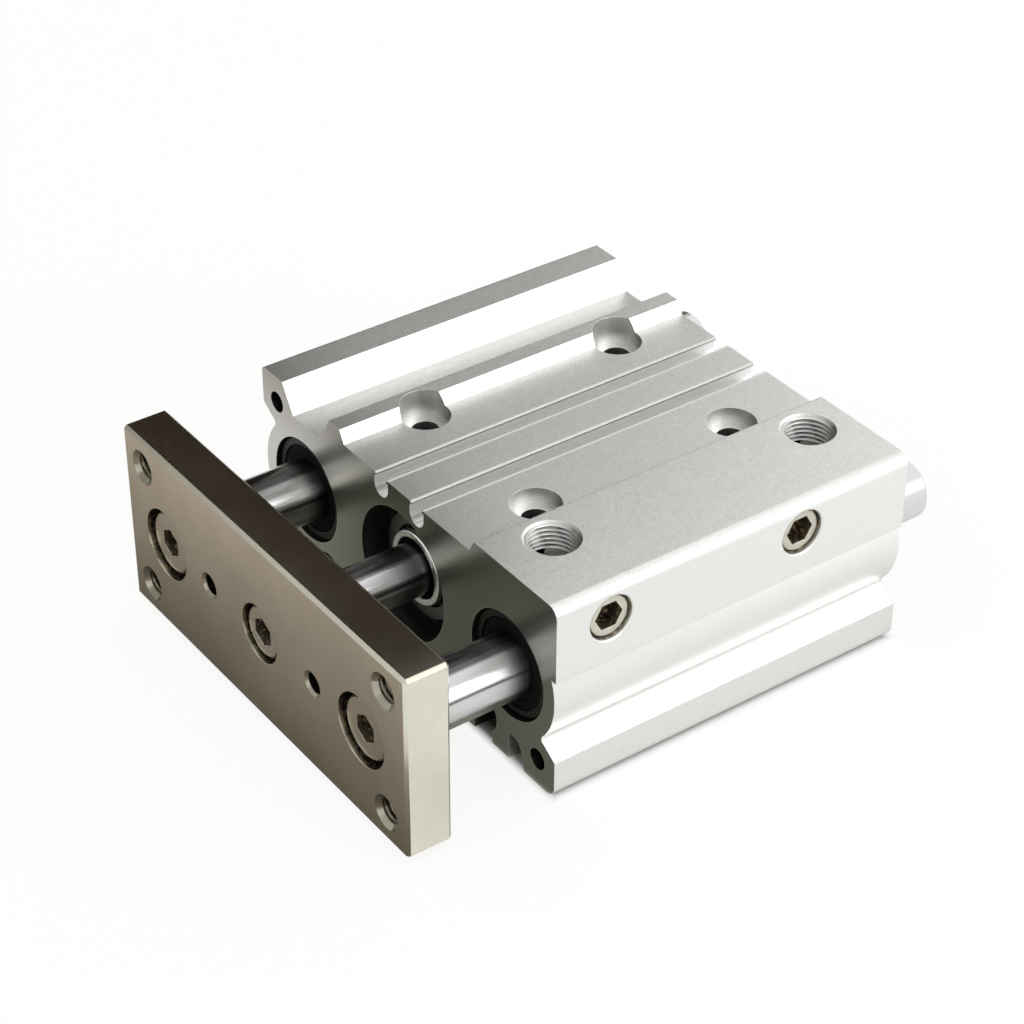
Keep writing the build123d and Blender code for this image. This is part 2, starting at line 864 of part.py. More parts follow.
# Tooling plate
with BuildPart() as tooling_plate:
    with BuildSketch(cross_plane(plate_front)):
        with Locations((0, axis_z)):
            Rectangle(plate_width, plate_height)
    extrude(amount=-plate_thickness)
    chamfer(tooling_plate.edges(), plate_edge_chamfer)
    front_face = Plane(origin=(0, front_y + plate_front, axis_z), x_dir=(1, 0, 0), z_dir=(0, -1, 0))
    with Locations(front_face):
        CounterBoreHole(
            rod_bolt_radius + bolt_hole_clearance,
            rod_bolt_counterbore,
            rod_bolt_recess + rod_bolt_head_height,
            plate_thickness + over,
        )
        with GridLocations(2 * guide_x, 1, 2, 1):
            CounterBoreHole(
                guide_bolt_radius + bolt_hole_clearance,
                guide_bolt_counterbore,
                guide_bolt_recess + guide_bolt_head_height,
                plate_thickness + over,
            )
        with GridLocations(plate_pin_pitch, 1, 2, 1):
            CounterSinkHole(plate_pin_radius, plate_pin_mouth, plate_thickness + over, 90)
        with GridLocations(plate_tap_pitch_x, plate_tap_pitch_z, 2, 2):
            CounterSinkHole(plate_tap_radius, plate_tap_mouth, plate_thickness + over, 90)
save(tooling_plate, "tooling_plate")

# Plate screws
rod_bolt = socket_screw(
    0,
    plate_front + rod_bolt_recess,
    rod_bolt_head_radius,
    rod_bolt_head_height,
    rod_bolt_radius,
    plate_thickness - rod_bolt_recess - rod_bolt_head_height + bolt_reach,
    rod_bolt_hex,
)
save(rod_bolt, "rod_bolt")

guide_bolts = [
    socket_screw(
        x,
        plate_front + guide_bolt_recess,
        guide_bolt_head_radius,
        guide_bolt_head_height,
        guide_bolt_radius,
        plate_thickness - guide_bolt_recess - guide_bolt_head_height + bolt_reach,
        guide_bolt_hex,
    )
    for x in (-guide_x, guide_x)
]
guide_bolt_pair = Compound(label="guide_bolts", children=[bolt.part for bolt in guide_bolts])
export_step(guide_bolt_pair, "parts/guide_bolts.step")


# Ball bushings: sleeve with a relieved mouth at both ends, cage with ball windows, balls and end seals
race_radius = guide_radius + 2 * (ball_radius + ball_running_clearance)
cage_outer = race_radius - 0.1
cage_inner = guide_radius + cage_clearance
sleeve_outer = bushing_radius - bushing_fit
ball_circle = guide_radius + ball_radius + ball_running_clearance


def bushing_sleeve(x, start):
    end = start + bushing_length
    return turned(
        x,
        [
            (start, end_seal_radius + bushing_fit),
            (start, sleeve_outer - 0.4),
            (start + 0.4, sleeve_outer),
            (end - 0.4, sleeve_outer),
            (end, sleeve_outer - 0.4),
            (end, end_seal_radius + bushing_fit),
            (end - end_ring_depth, end_seal_radius + bushing_fit),
            (end - end_ring_depth, race_radius),
            (start + end_ring_depth, race_radius),
            (start + end_ring_depth, end_seal_radius + bushing_fit),
        ],
    )


def bushing_cage(x, start):
    """The cage, with one long window for each row of balls."""
    cage_start = start + end_ring_depth
    cage_length = bushing_length - 2 * end_ring_depth
    window = (balls_per_row - 1) * ball_pitch + 2 * ball_radius + 0.3
    with BuildPart() as piece:
        with BuildSketch(cross_plane(cage_start)):
            with Locations((x, axis_z)):
                Circle(cage_outer)
                Circle(cage_inner, mode=Mode.SUBTRACT)
        extrude(amount=-cage_length)
        with BuildSketch(cross_plane(cage_start + (cage_length - window) / 2)):
            with Locations((x, axis_z)):
                with PolarLocations(ball_circle, ball_rows, start_angle=180 / ball_rows):
                    Rectangle(4 * ball_radius, 2 * ball_radius + 0.2)
        extrude(amount=-window, mode=Mode.SUBTRACT)
    return piece


def bushing_balls(x, start):
    """The loaded balls of one bushing, as separate solids."""
    middle = front_y + start + bushing_length / 2
    balls = []
    for row in range(ball_rows):
        turn = math.radians(180 / ball_rows + row * 360 / ball_rows)
        for place in range(balls_per_row):
            with BuildPart() as ball:
                with Locations(
                    (
                        x + ball_circle * math.cos(turn),
                        middle + (place - (balls_per_row - 1) / 2) * ball_pitch,
                        axis_z + ball_circle * math.sin(turn),
                    )
                ):
                    Sphere(ball_radius)
            balls.append(ball.part)
    return balls


def end_seal(x, start):
    """A rubber ring in the mouth of a bushing, with a thin lip towards the rod."""
    return turned(
        x,
        [
            (start, guide_radius + rod_clearance),
            (start, guide_radius + 0.8),
            (start - 0.15, guide_radius + 1.1),
            (start - 0.15, end_seal_radius - 0.5),
            (start, end_seal_radius),
            (start + end_seal_thickness, end_seal_radius),
            (start + end_seal_thickness, guide_radius + 0.8),
            (start + 0.3, guide_radius + rod_clearance),
        ],
    )


for corner, x, start in (
    ("front_left", -guide_x, bushing_recess),
    ("front_right", guide_x, bushing_recess),
    ("rear_left", -guide_x, body_length - bushing_recess - bushing_length),
    ("rear_right", guide_x, body_length - bushing_recess - bushing_length),
):
    save(bushing_sleeve(x, start), corner + "_bushing_sleeve")
    save(bushing_cage(x, start), corner + "_bushing_cage")
    balls = Compound(label=corner + "_bushing_balls", children=bushing_balls(x, start))
    export_step(balls, "parts/" + corner + "_bushing_balls.step")
    inset = 0.3
    seals = [end_seal(x, start + inset).part]
    seals.append(end_seal(x, start + bushing_length - inset - end_seal_thickness).part)
    pair = Compound(label=corner + "_bushing_seals", children=seals)
    export_step(pair, "parts/" + corner + "_bushing_seals.step")


# Hexagon socket plugs in the side ports
def port_plug(depth):
    mouth = Plane(origin=(side - plug_recess, front_y + depth, side_port_z), x_dir=(0, 1, 0), z_dir=(1, 0, 0))
    with BuildPart() as piece:
        with BuildSketch(mouth):
            Circle(side_port_radius - thread_clearance)
        extrude(amount=-plug_length)
        chamfer(piece.faces().sort_by(Axis.X)[-1].edges(), plug_chamfer)
        with BuildSketch(mouth):
            RegularPolygon(plug_hex / 2, 6, major_radius=False)
        extrude(amount=-plug_hex_depth, mode=Mode.SUBTRACT)
    return piece


plugs = Compound(
    label="port_plugs",
    children=[port_plug(depth).part for depth in (side_front_depth, side_rear_depth)],
)
export_step(plugs, "parts/port_plugs.step")
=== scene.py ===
import json
import math
import bpy
import bmesh
from mathutils import Matrix, Vector


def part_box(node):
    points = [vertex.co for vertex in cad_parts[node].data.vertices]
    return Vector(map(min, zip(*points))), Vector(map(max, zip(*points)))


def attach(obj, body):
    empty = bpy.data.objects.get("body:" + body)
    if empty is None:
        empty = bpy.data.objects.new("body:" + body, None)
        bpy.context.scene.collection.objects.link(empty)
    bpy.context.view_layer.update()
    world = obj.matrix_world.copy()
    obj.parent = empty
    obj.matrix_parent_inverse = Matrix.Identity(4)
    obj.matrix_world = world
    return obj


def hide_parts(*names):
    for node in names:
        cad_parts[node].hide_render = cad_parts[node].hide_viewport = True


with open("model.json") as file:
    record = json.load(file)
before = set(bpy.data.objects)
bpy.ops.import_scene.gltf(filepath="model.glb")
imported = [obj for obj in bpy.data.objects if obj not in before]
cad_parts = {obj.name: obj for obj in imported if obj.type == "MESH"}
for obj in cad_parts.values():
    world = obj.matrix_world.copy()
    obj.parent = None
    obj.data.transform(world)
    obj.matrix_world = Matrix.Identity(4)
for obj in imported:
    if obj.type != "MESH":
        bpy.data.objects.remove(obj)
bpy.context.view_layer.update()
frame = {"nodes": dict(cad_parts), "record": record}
nodes = frame["nodes"]
scene = bpy.context.scene
MM = 0.001


def node_box(name):
    """Lowest and highest corner of a node of the frame, in millimetres."""
    return [[round(value / MM, 2) for value in corner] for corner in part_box(name)]


# Sizes and places from the frame. Lengths in this script are in millimetres
body_low, body_high = node_box("housing")
plate_low, plate_high = node_box("tooling_plate")
guide_low, guide_high = node_box("guide_rod_right")
piston_rod_high = node_box("piston_rod")[1]
SIDE_X, REAR_Y, TOP_Z = body_high
FRONT_Y = body_low[1]
PLATE_FRONT = plate_low[1]
PLATE_BACK = plate_high[1]
PISTON_ROD_RADIUS = piston_rod_high[0]
PISTON_ROD_REAR = piston_rod_high[1]
AXIS_Z = piston_rod_high[2] - PISTON_ROD_RADIUS
GUIDE_X = (guide_low[0] + guide_high[0]) / 2
GUIDE_RADIUS = guide_high[2] - AXIS_Z
GUIDE_REAR = guide_high[1]

# Holes and grooves of the body
TOP_MIDDLE_X = -0.6
TOP_MIDDLE_Y = 0.55
SCREW_X = 17.0
SCREW_Y = 22.0
SCREW_HOLE_RADIUS = 4.8
SCREW_HOLE_FLOOR = 34.8
PORT_X = 29.0
PORT_FRONT_Y = FRONT_Y + 11.5
PORT_REAR_Y = REAR_Y - 9.0
PORT_RADIUS = 5.2
GROOVE_PITCH = 11.1
GROOVE_EDGE = -4.25
GROOVES_REACH = 8.0
GROOVES_FLOOR = 33.0
LIP_LOW = 36.8
LIP_HIGH = 37.66
STEP_X = 22.3
RECESS_RADIUS = 14.1
GUIDE_BORE_RADIUS = 10.55
CORNER_TAP_X = 41.0
CORNER_TAP_Z = 14.75
CORNER_TAP_RADIUS = 2.15
SLOT_X = 25.0
SLOT_REACH = 4.1
SLOT_TOP = 9.7

# Holes of the plate and of the rod ends
PLATE_TAP_X = 39.0
PLATE_TAP_Z = 13.0
PLATE_TAP_RADIUS = 3.4
PLATE_DOWEL_X = 17.0
PLATE_DOWEL_RADIUS = 2.5
PLATE_COUNTERSINK = 0.95
ROD_TAP_DEPTH = 16.0
ROD_CHAMFER = 0.5
ROD_STEPS = 128
GUIDE_TAP_RADIUS = 4.05
PISTON_ROD_TAP_RADIUS = 3.05

# Camera at the place and angle of the photograph
CAMERA_PLACE = (326.36, -251.67, 311.5)
CAMERA_AZIMUTH = 54.007
CAMERA_ELEVATION = 35.499
CAMERA_ROLL = 0.297
camera_data = bpy.data.cameras.new("camera")
camera_data.sensor_width = 36.0
camera_data.lens = 95.73
camera_data.clip_start = 0.01
camera = bpy.data.objects.new("camera", camera_data)
scene.collection.objects.link(camera)
turns = ((CAMERA_AZIMUTH, "Z"), (90.0 - CAMERA_ELEVATION, "X"), (CAMERA_ROLL, "Z"))
camera_matrix = Matrix.Translation(Vector(CAMERA_PLACE) * MM)
for angle, axis in turns:
    camera_matrix = camera_matrix @ Matrix.Rotation(math.radians(angle), 4, axis)
camera.matrix_world = camera_matrix
scene.camera = camera
scene.view_settings.view_transform = "Standard"

# The right hand of the picture, as x and y
PICTURE_RIGHT = (0.585, 0.811)

# The range that most values of a noise lie in
NOISE_LOW = 0.3
NOISE_HIGH = 0.7


class Graph:
    """Shader nodes that are written top down."""

    def __init__(self, tree):
        self.tree = tree
        tree.nodes.clear()

    def add(self, kind, links=None, **settings):
        node = self.tree.nodes.new("ShaderNode" + kind)
        for key, value in settings.items():
            setattr(node, key, value)
        for socket, value in (links or {}).items():
            if isinstance(value, bpy.types.NodeSocket):
                self.tree.links.new(value, node.inputs[socket])
            else:
                node.inputs[socket].default_value = value
        return node

    def math(self, operation, a, b=0.0, clamp=False):
        node = self.add("Math", {0: a, 1: b}, operation=operation, use_clamp=clamp)
        return node.outputs[0]

    def chain(self, operation, values):
        total = values[0]
        for value in values[1:]:
            total = self.math(operation, total, value)
        return total

    def plus(self, *values):
        return self.chain("ADD", values)

    def times(self, *values):
        return self.chain("MULTIPLY", values)

    def most(self, *values):
        return self.chain("MAXIMUM", values)

    def minus(self, a, b, clamp=False):
        return self.math("SUBTRACT", a, b, clamp)

    def size(self, value):
        return self.math("ABSOLUTE", value)

    def off(self, value, reach, middle=0.0):
        """The difference from the nearer of two places that lie at a reach from a middle."""
        return self.minus(self.size(self.minus(value, middle)), reach)

    def apart(self, a, b):
        """The distance from a line, from two differences."""
        return self.math("SQRT", self.plus(self.times(a, a), self.times(b, b)))

    def ramp(self, value, low, high, out_low, out_high, smooth=False):
        kind = "SMOOTHSTEP" if smooth else "LINEAR"
        links = {0: value, 1: low, 2: high, 3: out_low, 4: out_high}
        return self.add("MapRange", links, interpolation_type=kind).outputs[0]

    def above(self, value, edge, width=0.1):
        """0 up to an edge, then 1 after a width."""
        return self.ramp(value, edge, edge + width, 0.0, 1.0)

    def below(self, value, edge, width=0.1):
        """1 up to an edge, then 0 after a width."""
        return self.ramp(value, edge, edge + width, 1.0, 0.0)

    def opposite(self, mask):
        return self.ramp(mask, 0.0, 1.0, 1.0, 0.0)

    def spread(self, noise, low, high):
        """Noise brought to a range."""
        return self.ramp(noise, NOISE_LOW, NOISE_HIGH, low, high)

    def sway(self, noise, amount):
        """Noise brought to plus or minus an amount."""
        return self.spread(noise, -amount, amount)


class Shader(Graph):
    """A node material, with lengths in millimetres."""

    def __init__(self, name):
        self.material = bpy.data.materials.new(name)
        self.material.use_nodes = True
        super().__init__(self.material.node_tree)

    def mix(self, amount, a, b):
        return self.add("Mix", {0: amount, 6: a, 7: b}, data_type="RGBA").outputs[2]

    def parts(self, vector):
        """A vector's x, y and z."""
        return list(self.add("SeparateXYZ", {0: vector}).outputs)

    def point(self, stretch=(1, 1, 1)):
        """The place on the object, stretched by a factor for each axis."""
        links = {"Vector": self.add("TexCoord").outputs["Object"]}
        links["Scale"] = [factor / MM for factor in stretch]
        return self.add("Mapping", links).outputs[0]

    def place(self):
        return self.parts(self.point())

    def direction(self, kind="True Normal"):
        """Which way the surface looks."""
        return self.parts(self.add("NewGeometry").outputs[kind])

    def noise(self, scale, stretch=(1, 1, 1), detail=3.0, roughness=0.55):
        links = {"Vector": self.point(stretch), "Scale": scale}
        links.update({"Detail": detail, "Roughness": roughness})
        return self.add("TexNoise", links).outputs["Fac"]

    def rounded(self, edge):
        """The direction of a surface whose edges look rounded over a width."""
        return self.add("Bevel", {"Radius": edge * MM}, samples=6).outputs[0]

    def bump(self, heights, distance, strength, edge=0.0):
        """A bump of a depth, over edges that look rounded over a width."""
        links = {"Height": heights, "Distance": distance * MM, "Strength": strength}
        if edge:
            links["Normal"] = self.rounded(edge)
        return self.add("Bump", links).outputs[0]

    def wear(self, edge):
        """Near 0 on flat faces and up to 1 on worn edges of a width."""
        plain = self.add("NewGeometry").outputs["Normal"]
        links = {0: self.rounded(edge), 1: plain}
        turn = self.add("VectorMath", links, operation="DOT_PRODUCT").outputs["Value"]
        return self.ramp(turn, 0.98, 0.80, 0.0, 1.0)

    def depth(self, reach, low, high, local=False):
        """1 out in the open and 0 deep inside holes, felt over a reach."""
        links = {"Distance": reach * MM}
        node = self.add("AmbientOcclusion", links, samples=4, only_local=local)
        return self.ramp(node.outputs["AO"], low, high, 0.0, 1.0)

    def show(self, surface):
        """Ends the material with its surface."""
        self.add("OutputMaterial", {"Surface": surface.outputs[0]})
        return self.material

    def coat(self, **sockets):
        """Ends the material with one coat, its sockets named with _ for a space."""
        links = {name.replace("_", " "): value for name, value in sockets.items()}
        return self.show(self.add("BsdfPrincipled", links))


def grey(level, warm=0.0):
    return (level * (1 + warm), level, level * (1 - warm), 1.0)


# Tones of the body, from its skin to the painted shade in its holes and the painted light in its
# grooves
SKIN_LOW = (0.80, 0.825, 0.785, 1)
SKIN_HIGH = (1.0, 1.0, 0.975, 1)
MILLED_LOW = (0.60, 0.595, 0.55, 1)
MILLED_HIGH = (0.66, 0.655, 0.61, 1)
MILLED_SHADE = (0.10, 0.10, 0.085, 1)
WORN_EDGE = grey(0.93)
DEEP_SHADE = (0.05, 0.05, 0.045, 1)
HOLE_SHADE = (0.10, 0.10, 0.09, 1)
LIP_EDGE_SHADE = (0.25, 0.25, 0.24, 1)
BORE_SHADE = (0.02, 0.02, 0.018, 1)
GROOVE_WALL_LIGHT = (1.0, 1.0, 0.99, 1)
EDGE_HIGHLIGHT = (0.93, 0.93, 0.92, 1)
STEP_LINE = (0.42, 0.42, 0.41, 1)

# One wide cutter milled the end faces, turning about a line beyond them
CUTTER_X = -70.0
CUTTER_Z = -25.0
CUTTER_FEED = 0.28


def skin_color(ink, turn_z, grain, fine, cloud):
    """Bead-blasted skin: grain and mottle, strongest on top, and faint draw lines along it."""
    mottle = ink.noise(0.9, detail=2.0)
    draw = ink.noise(0.9, stretch=(1, 0.02, 1), detail=4.0)
    tone = ink.plus(ink.sway(grain, 0.42), ink.sway(fine, 0.16), ink.sway(mottle, 0.12),
                    ink.sway(draw, 0.012), ink.sway(cloud, 0.012))
    tone = ink.times(tone, ink.ramp(turn_z, 0.3, 0.9, 0.35, 1.0))
    return ink.mix(ink.plus(tone, 0.5), SKIN_LOW, SKIN_HIGH)


def milled_color(ink, x, arcs, cloud):
    """An end face with faint arcs, and painted shade that darkens it from its left to its middle."""
    tone = ink.plus(ink.times(arcs, 0.02), ink.spread(cloud, 0.35, 0.65))
    to_middle = ink.ramp(x, -40.0, 4.0, 0.0, 0.74, True)
    to_right = ink.ramp(x, 20.0, 44.0, 1.0, 0.66)
    plain = ink.mix(tone, MILLED_LOW, MILLED_HIGH)
    return ink.mix(ink.times(to_middle, to_right), plain, MILLED_SHADE)


def dark_holes(ink, x, z, along):
    """1 on the walls of the recess, guide bores, corner taps and slots, where painted shade goes."""
    over_axis = ink.minus(z, AXIS_Z)
    recess = ink.below(ink.apart(x, over_axis), RECESS_RADIUS)
    guides = ink.below(ink.apart(ink.off(x, GUIDE_X), over_axis), GUIDE_BORE_RADIUS)
    from_tap = ink.apart(ink.off(x, CORNER_TAP_X), ink.off(over_axis, CORNER_TAP_Z))
    taps = ink.below(from_tap, CORNER_TAP_RADIUS)
    from_slot = ink.size(ink.off(x, SLOT_X))
    slots = ink.times(ink.below(from_slot, SLOT_REACH), ink.below(z, SLOT_TOP))
    return ink.times(ink.most(recess, guides, taps, slots), ink.opposite(along))


def top_holes(ink, x, y, z):
    """1 in the counterbores of the four top screws, and 1 in the two ports."""
    aside = ink.off(x, SCREW_X, TOP_MIDDLE_X)
    from_screw = ink.apart(aside, ink.off(y, SCREW_Y, TOP_MIDDLE_Y))
    over_floor = ink.above(z, SCREW_HOLE_FLOOR, 0.2)
    screw_holes = ink.times(ink.below(from_screw, SCREW_HOLE_RADIUS), over_floor)
    middle = (PORT_FRONT_Y + PORT_REAR_Y) / 2
    reach = (PORT_REAR_Y - PORT_FRONT_Y) / 2
    from_port = ink.apart(ink.minus(x, PORT_X), ink.off(y, reach, middle))
    return screw_holes, ink.below(from_port, PORT_RADIUS)


def anodised(name):
    """Clear anodised extrusion with milled ends, and painted shade and painted light in its holes and
    grooves.
    """
    ink = Shader(name)
    x, y, z = ink.place()
    turn_x, turn_y, turn_z = ink.direction()
    upward = ink.above(turn_z, 0.90, 0.05)
    along = ink.above(ink.size(turn_y), 0.97, 0.025)
    end = ink.times(along, ink.above(ink.size(y), REAR_Y - 0.3, 0.2))
    not_end = ink.opposite(end)
    worn = ink.wear(0.35)

    # Skin and end faces
    grain = ink.noise(2.6, detail=2.0, roughness=0.7)
    fine = ink.noise(7.0, detail=1.0)
    cloud = ink.noise(0.05, detail=2.0)
    skin = skin_color(ink, turn_z, grain, fine, cloud)
    from_cutter = ink.apart(ink.minus(x, CUTTER_X), ink.minus(z, CUTTER_Z))
    arcs = ink.math("SINE", ink.times(from_cutter, 2 * math.pi / CUTTER_FEED))
    color = ink.mix(end, skin, milled_color(ink, x, arcs, cloud))
    color = ink.mix(ink.times(worn, 0.5), color, WORN_EDGE)

    # Painted shade darkens the holes with depth, but the sensor grooves and the counterbores stay
    # bright
    from_middle = ink.size(ink.minus(x, TOP_MIDDLE_X))
    over_floor = ink.above(z, GROOVES_FLOOR, 0.2)
    grooves = ink.times(ink.below(from_middle, GROOVES_REACH, 0.2), over_floor)
    screw_holes, ports = top_holes(ink, x, y, z)
    open_air = ink.most(ink.depth(7.0, 0.12, 0.55, True), grooves, screw_holes)
    color = ink.mix(open_air, DEEP_SHADE, color)

    # A narrow painted shadow lies under the thin lips of the grooves
    lip = ink.times(ink.above(z, LIP_LOW, 0.2), ink.below(z, LIP_HIGH, 0.04), grooves,
                    ink.below(ink.size(turn_y), 0.5))
    color = ink.mix(ink.times(lip, 0.6), color, HOLE_SHADE)
    # Painted shade dims the slanted faces in the grooves
    lip_edge = ink.times(ink.above(turn_z, 0.5), ink.below(turn_z, 0.8), grooves)
    color = ink.mix(ink.times(lip_edge, 0.6), color, LIP_EDGE_SHADE)
    # Painted shade blackens the walls of the recess, guide bores, corner taps and slots
    color = ink.mix(ink.times(dark_holes(ink, x, z, along), 0.88), color, BORE_SHADE)

    # Painted light brightens the walls of the grooves, and a painted highlight whitens their right
    # edges
    wall = ink.times(grooves, ink.ramp(turn_z, 0.3, 0.4, 0.9, 0.0), ink.opposite(along))
    color = ink.mix(ink.times(wall, ink.minus(1.0, lip)), color, GROOVE_WALL_LIGHT)
    past_edge = ink.math("MODULO", ink.plus(x, GROOVE_PITCH * 3 - GROOVE_EDGE), GROOVE_PITCH)
    edge_highlight = ink.times(ink.below(past_edge, 0.42, 0.08), upward, grooves)
    color = ink.mix(edge_highlight, color, EDGE_HIGHLIGHT)

    # The edge of the raised strip shows as a faint line of painted shade
    line = ink.times(ink.above(x, STEP_X, 0.04), ink.below(x, STEP_X + 0.3), upward,
                     ink.above(z, TOP_Z - 0.2))
    color = ink.mix(ink.times(line, 0.22), color, STEP_LINE)

    # Painted shade makes the walls of the top holes go from light on the left to dark on the right
    leftward = ink.plus(ink.times(turn_x, -PICTURE_RIGHT[0]), ink.times(turn_y, -PICTURE_RIGHT[1]))
    right_wall = ink.times(ink.ramp(leftward, -0.3, 0.9, 0.0, 0.85), ink.opposite(upward))
    color = ink.mix(ink.times(ink.most(screw_holes, ports), right_wall), color, HOLE_SHADE)

    rough = ink.plus(ink.times(ink.sway(grain, 0.03), not_end), 0.43, ink.times(end, -0.15))
    rough = ink.minus(rough, ink.times(worn, 0.12))
    blasted = ink.plus(grain, ink.times(fine, 0.5))
    heights = ink.plus(ink.times(blasted, ink.ramp(end, 0.0, 1.0, 1.0, 0.004)),
                       ink.times(arcs, end, 0.008))
    metallic = ink.minus(1.0, ink.times(edge_highlight, 0.8))
    return ink.coat(Base_Color=color, Metallic=metallic, Roughness=rough,
                    Normal=ink.bump(heights, 0.02, 0.8, edge=0.14))


def plate_shades(ink, color):
    """Painted shade on the walls of the taps and dowel holes of the plate, and on the chamfer along
    its top.
    """
    x, y, z = ink.place()
    turn_z = ink.direction()[2]
    over_axis = ink.minus(z, AXIS_Z)
    from_tap = ink.apart(ink.off(x, PLATE_TAP_X), ink.off(over_axis, PLATE_TAP_Z))
    from_dowel = ink.apart(ink.off(x, PLATE_DOWEL_X), over_axis)
    holes = ink.most(ink.below(from_tap, PLATE_TAP_RADIUS),
                     ink.below(from_dowel, PLATE_DOWEL_RADIUS))
    deep = ink.ramp(y, PLATE_FRONT + 0.8, PLATE_FRONT + 1.0, 0.5, 0.85)
    color = ink.mix(ink.times(holes, deep), color, (0.09, 0.075, 0.05, 1))
    chamfer = ink.times(ink.above(turn_z, 0.5), ink.below(turn_z, 0.8))
    to_right = ink.ramp(x, -45.0, 45.0, 0.75, 0.35)
    return ink.mix(ink.times(chamfer, to_right), color, (0.10, 0.09, 0.06, 1))


def nickel(name, low, high, rough, edge=0.16, reach=(5.0, 0.40, 0.92), nicks=0.0, shades=None):
    """Satin nickel plate on steel: soft clouds, fine grain, brighter edges, bright nicks."""
    ink = Shader(name)
    cloud = ink.noise(0.045, detail=3.0)
    grain = ink.noise(5.0, detail=2.0)
    brush = ink.noise(2.2, stretch=(1, 1, 0.05), detail=3.0)
    tone = ink.plus(ink.spread(cloud, 0.2, 0.8), ink.sway(grain, 0.08), ink.sway(brush, 0.06))
    color = ink.mix(tone, low, high)
    color = ink.mix(ink.times(ink.wear(edge), 0.5), color, (0.82, 0.79, 0.66, 1))
    if nicks:
        spots = ink.add("TexVoronoi", {"Vector": ink.point(), "Scale": 0.16})
        nick = ink.ramp(spots.outputs["Distance"], 0.035, 0.02, 0.0, nicks)
        color = ink.mix(nick, color, (0.95, 0.93, 0.88, 1))
    if shades:
        color = shades(ink, color)
    # Deep places get painted shade and dirt: brown with light flecks
    open_air = ink.depth(*reach)
    flecks = ink.above(ink.noise(1.3, detail=2.0), 0.52)
    shade_and_dirt = ink.mix(flecks, (0.035, 0.025, 0.018, 1), (0.55, 0.42, 0.25, 1))
    color = ink.mix(open_air, shade_and_dirt, color)
    roughness = ink.plus(ink.spread(cloud, rough, rough + 0.05),
                         ink.ramp(open_air, 0.0, 1.0, 0.3, 0.0))
    heights = ink.plus(grain, ink.times(brush, 0.4))
    return ink.coat(Base_Color=color, Metallic=1.0, Roughness=roughness,
                    Normal=ink.bump(heights, 0.006, 0.6, edge=edge))


def chrome(name):
    """Hard chrome, ground round the rod, so that its shine is drawn out along it."""
    ink = Shader(name)
    rings = ink.noise(3.0, stretch=(0.05, 1, 0.05), detail=3.0)
    smear = ink.noise(0.12, detail=2.0)
    color = ink.mix(ink.spread(rings, 0.3, 0.7), grey(0.75), grey(0.85))
    # Painted reflections: a dark stripe runs along the top of each rod and a greyer one along its
    # lower side, faint on the right rod. Neither reaches the rear
    x, y, _ = ink.place()
    turn_z = ink.direction("Normal")[2]
    stripe = ink.times(ink.ramp(turn_z, 0.895, 0.95, 0.0, 0.86, True),
                       ink.spread(smear, 0.9, 1.0))
    lower = ink.times(ink.ramp(turn_z, 0.50, 0.40, 0.0, 1.0, True),
                      ink.ramp(x, 5.0, 25.0, 0.62, 0.12))
    to_front = ink.below(y, 0.0, 30.0)
    color = ink.mix(ink.times(ink.most(stripe, lower), to_front), color, grey(0.03))
    # Painted shade darkens the rods near the bores and the plate
    color = ink.mix(ink.depth(9.0, 0.40, 0.78), grey(0.012), color)
    rough = ink.plus(ink.spread(rings, 0.225, 0.24), ink.ramp(smear, 0.4, 0.8, 0.0, 0.02))
    around = ink.add("Tangent", direction_type="RADIAL", axis="Y").outputs[0]
    return ink.coat(Base_Color=color, Metallic=1.0, Roughness=rough, Anisotropic=0.95,
                    Anisotropic_Rotation=0.25, Tangent=around,
                    Normal=ink.bump(smear, 0.0012, 0.5))


def turned(name, level, rough, warm=0.0, shade=1.0):
    """Turned alloy or steel with fine circular tool marks."""
    ink = Shader(name)
    marks = ink.noise(4.0, stretch=(1, 0.3, 1), detail=2.0)
    tone = ink.plus(ink.sway(marks, 0.1), ink.spread(ink.noise(0.2), 0.3, 0.7))
    color = ink.mix(tone, grey(level * 0.85, warm), grey(level * 1.1, warm))
    bright = grey(min(level * 1.5, 0.92), warm)
    color = ink.mix(ink.times(ink.wear(0.25), 0.5), color, bright)
    # Painted shade darkens deep places, by the share given as shade
    open_air = ink.ramp(ink.depth(3.0, 0.1, 0.6), 0.0, 1.0, 1.0 - shade, 1.0)
    color = ink.mix(open_air, grey(0.02), color)
    return ink.coat(Base_Color=color, Metallic=1.0,
                    Roughness=ink.spread(marks, rough, rough + 0.06),
                    Normal=ink.bump(marks, 0.005, 0.6, edge=0.25))


def dull(name, low, high, rough):
    """Rubber, resin or ferrite: fine grain and soft edge shine."""
    ink = Shader(name)
    grain = ink.noise(4.0, detail=3.0)
    return ink.coat(Base_Color=ink.mix(ink.spread(grain, 0.0, 1.0), low, high), Metallic=0.0,
                    Roughness=ink.spread(grain, rough, rough + 0.1), Specular_IOR_Level=0.08,
                    Normal=ink.bump(grain, 0.01, 0.7, edge=0.15))


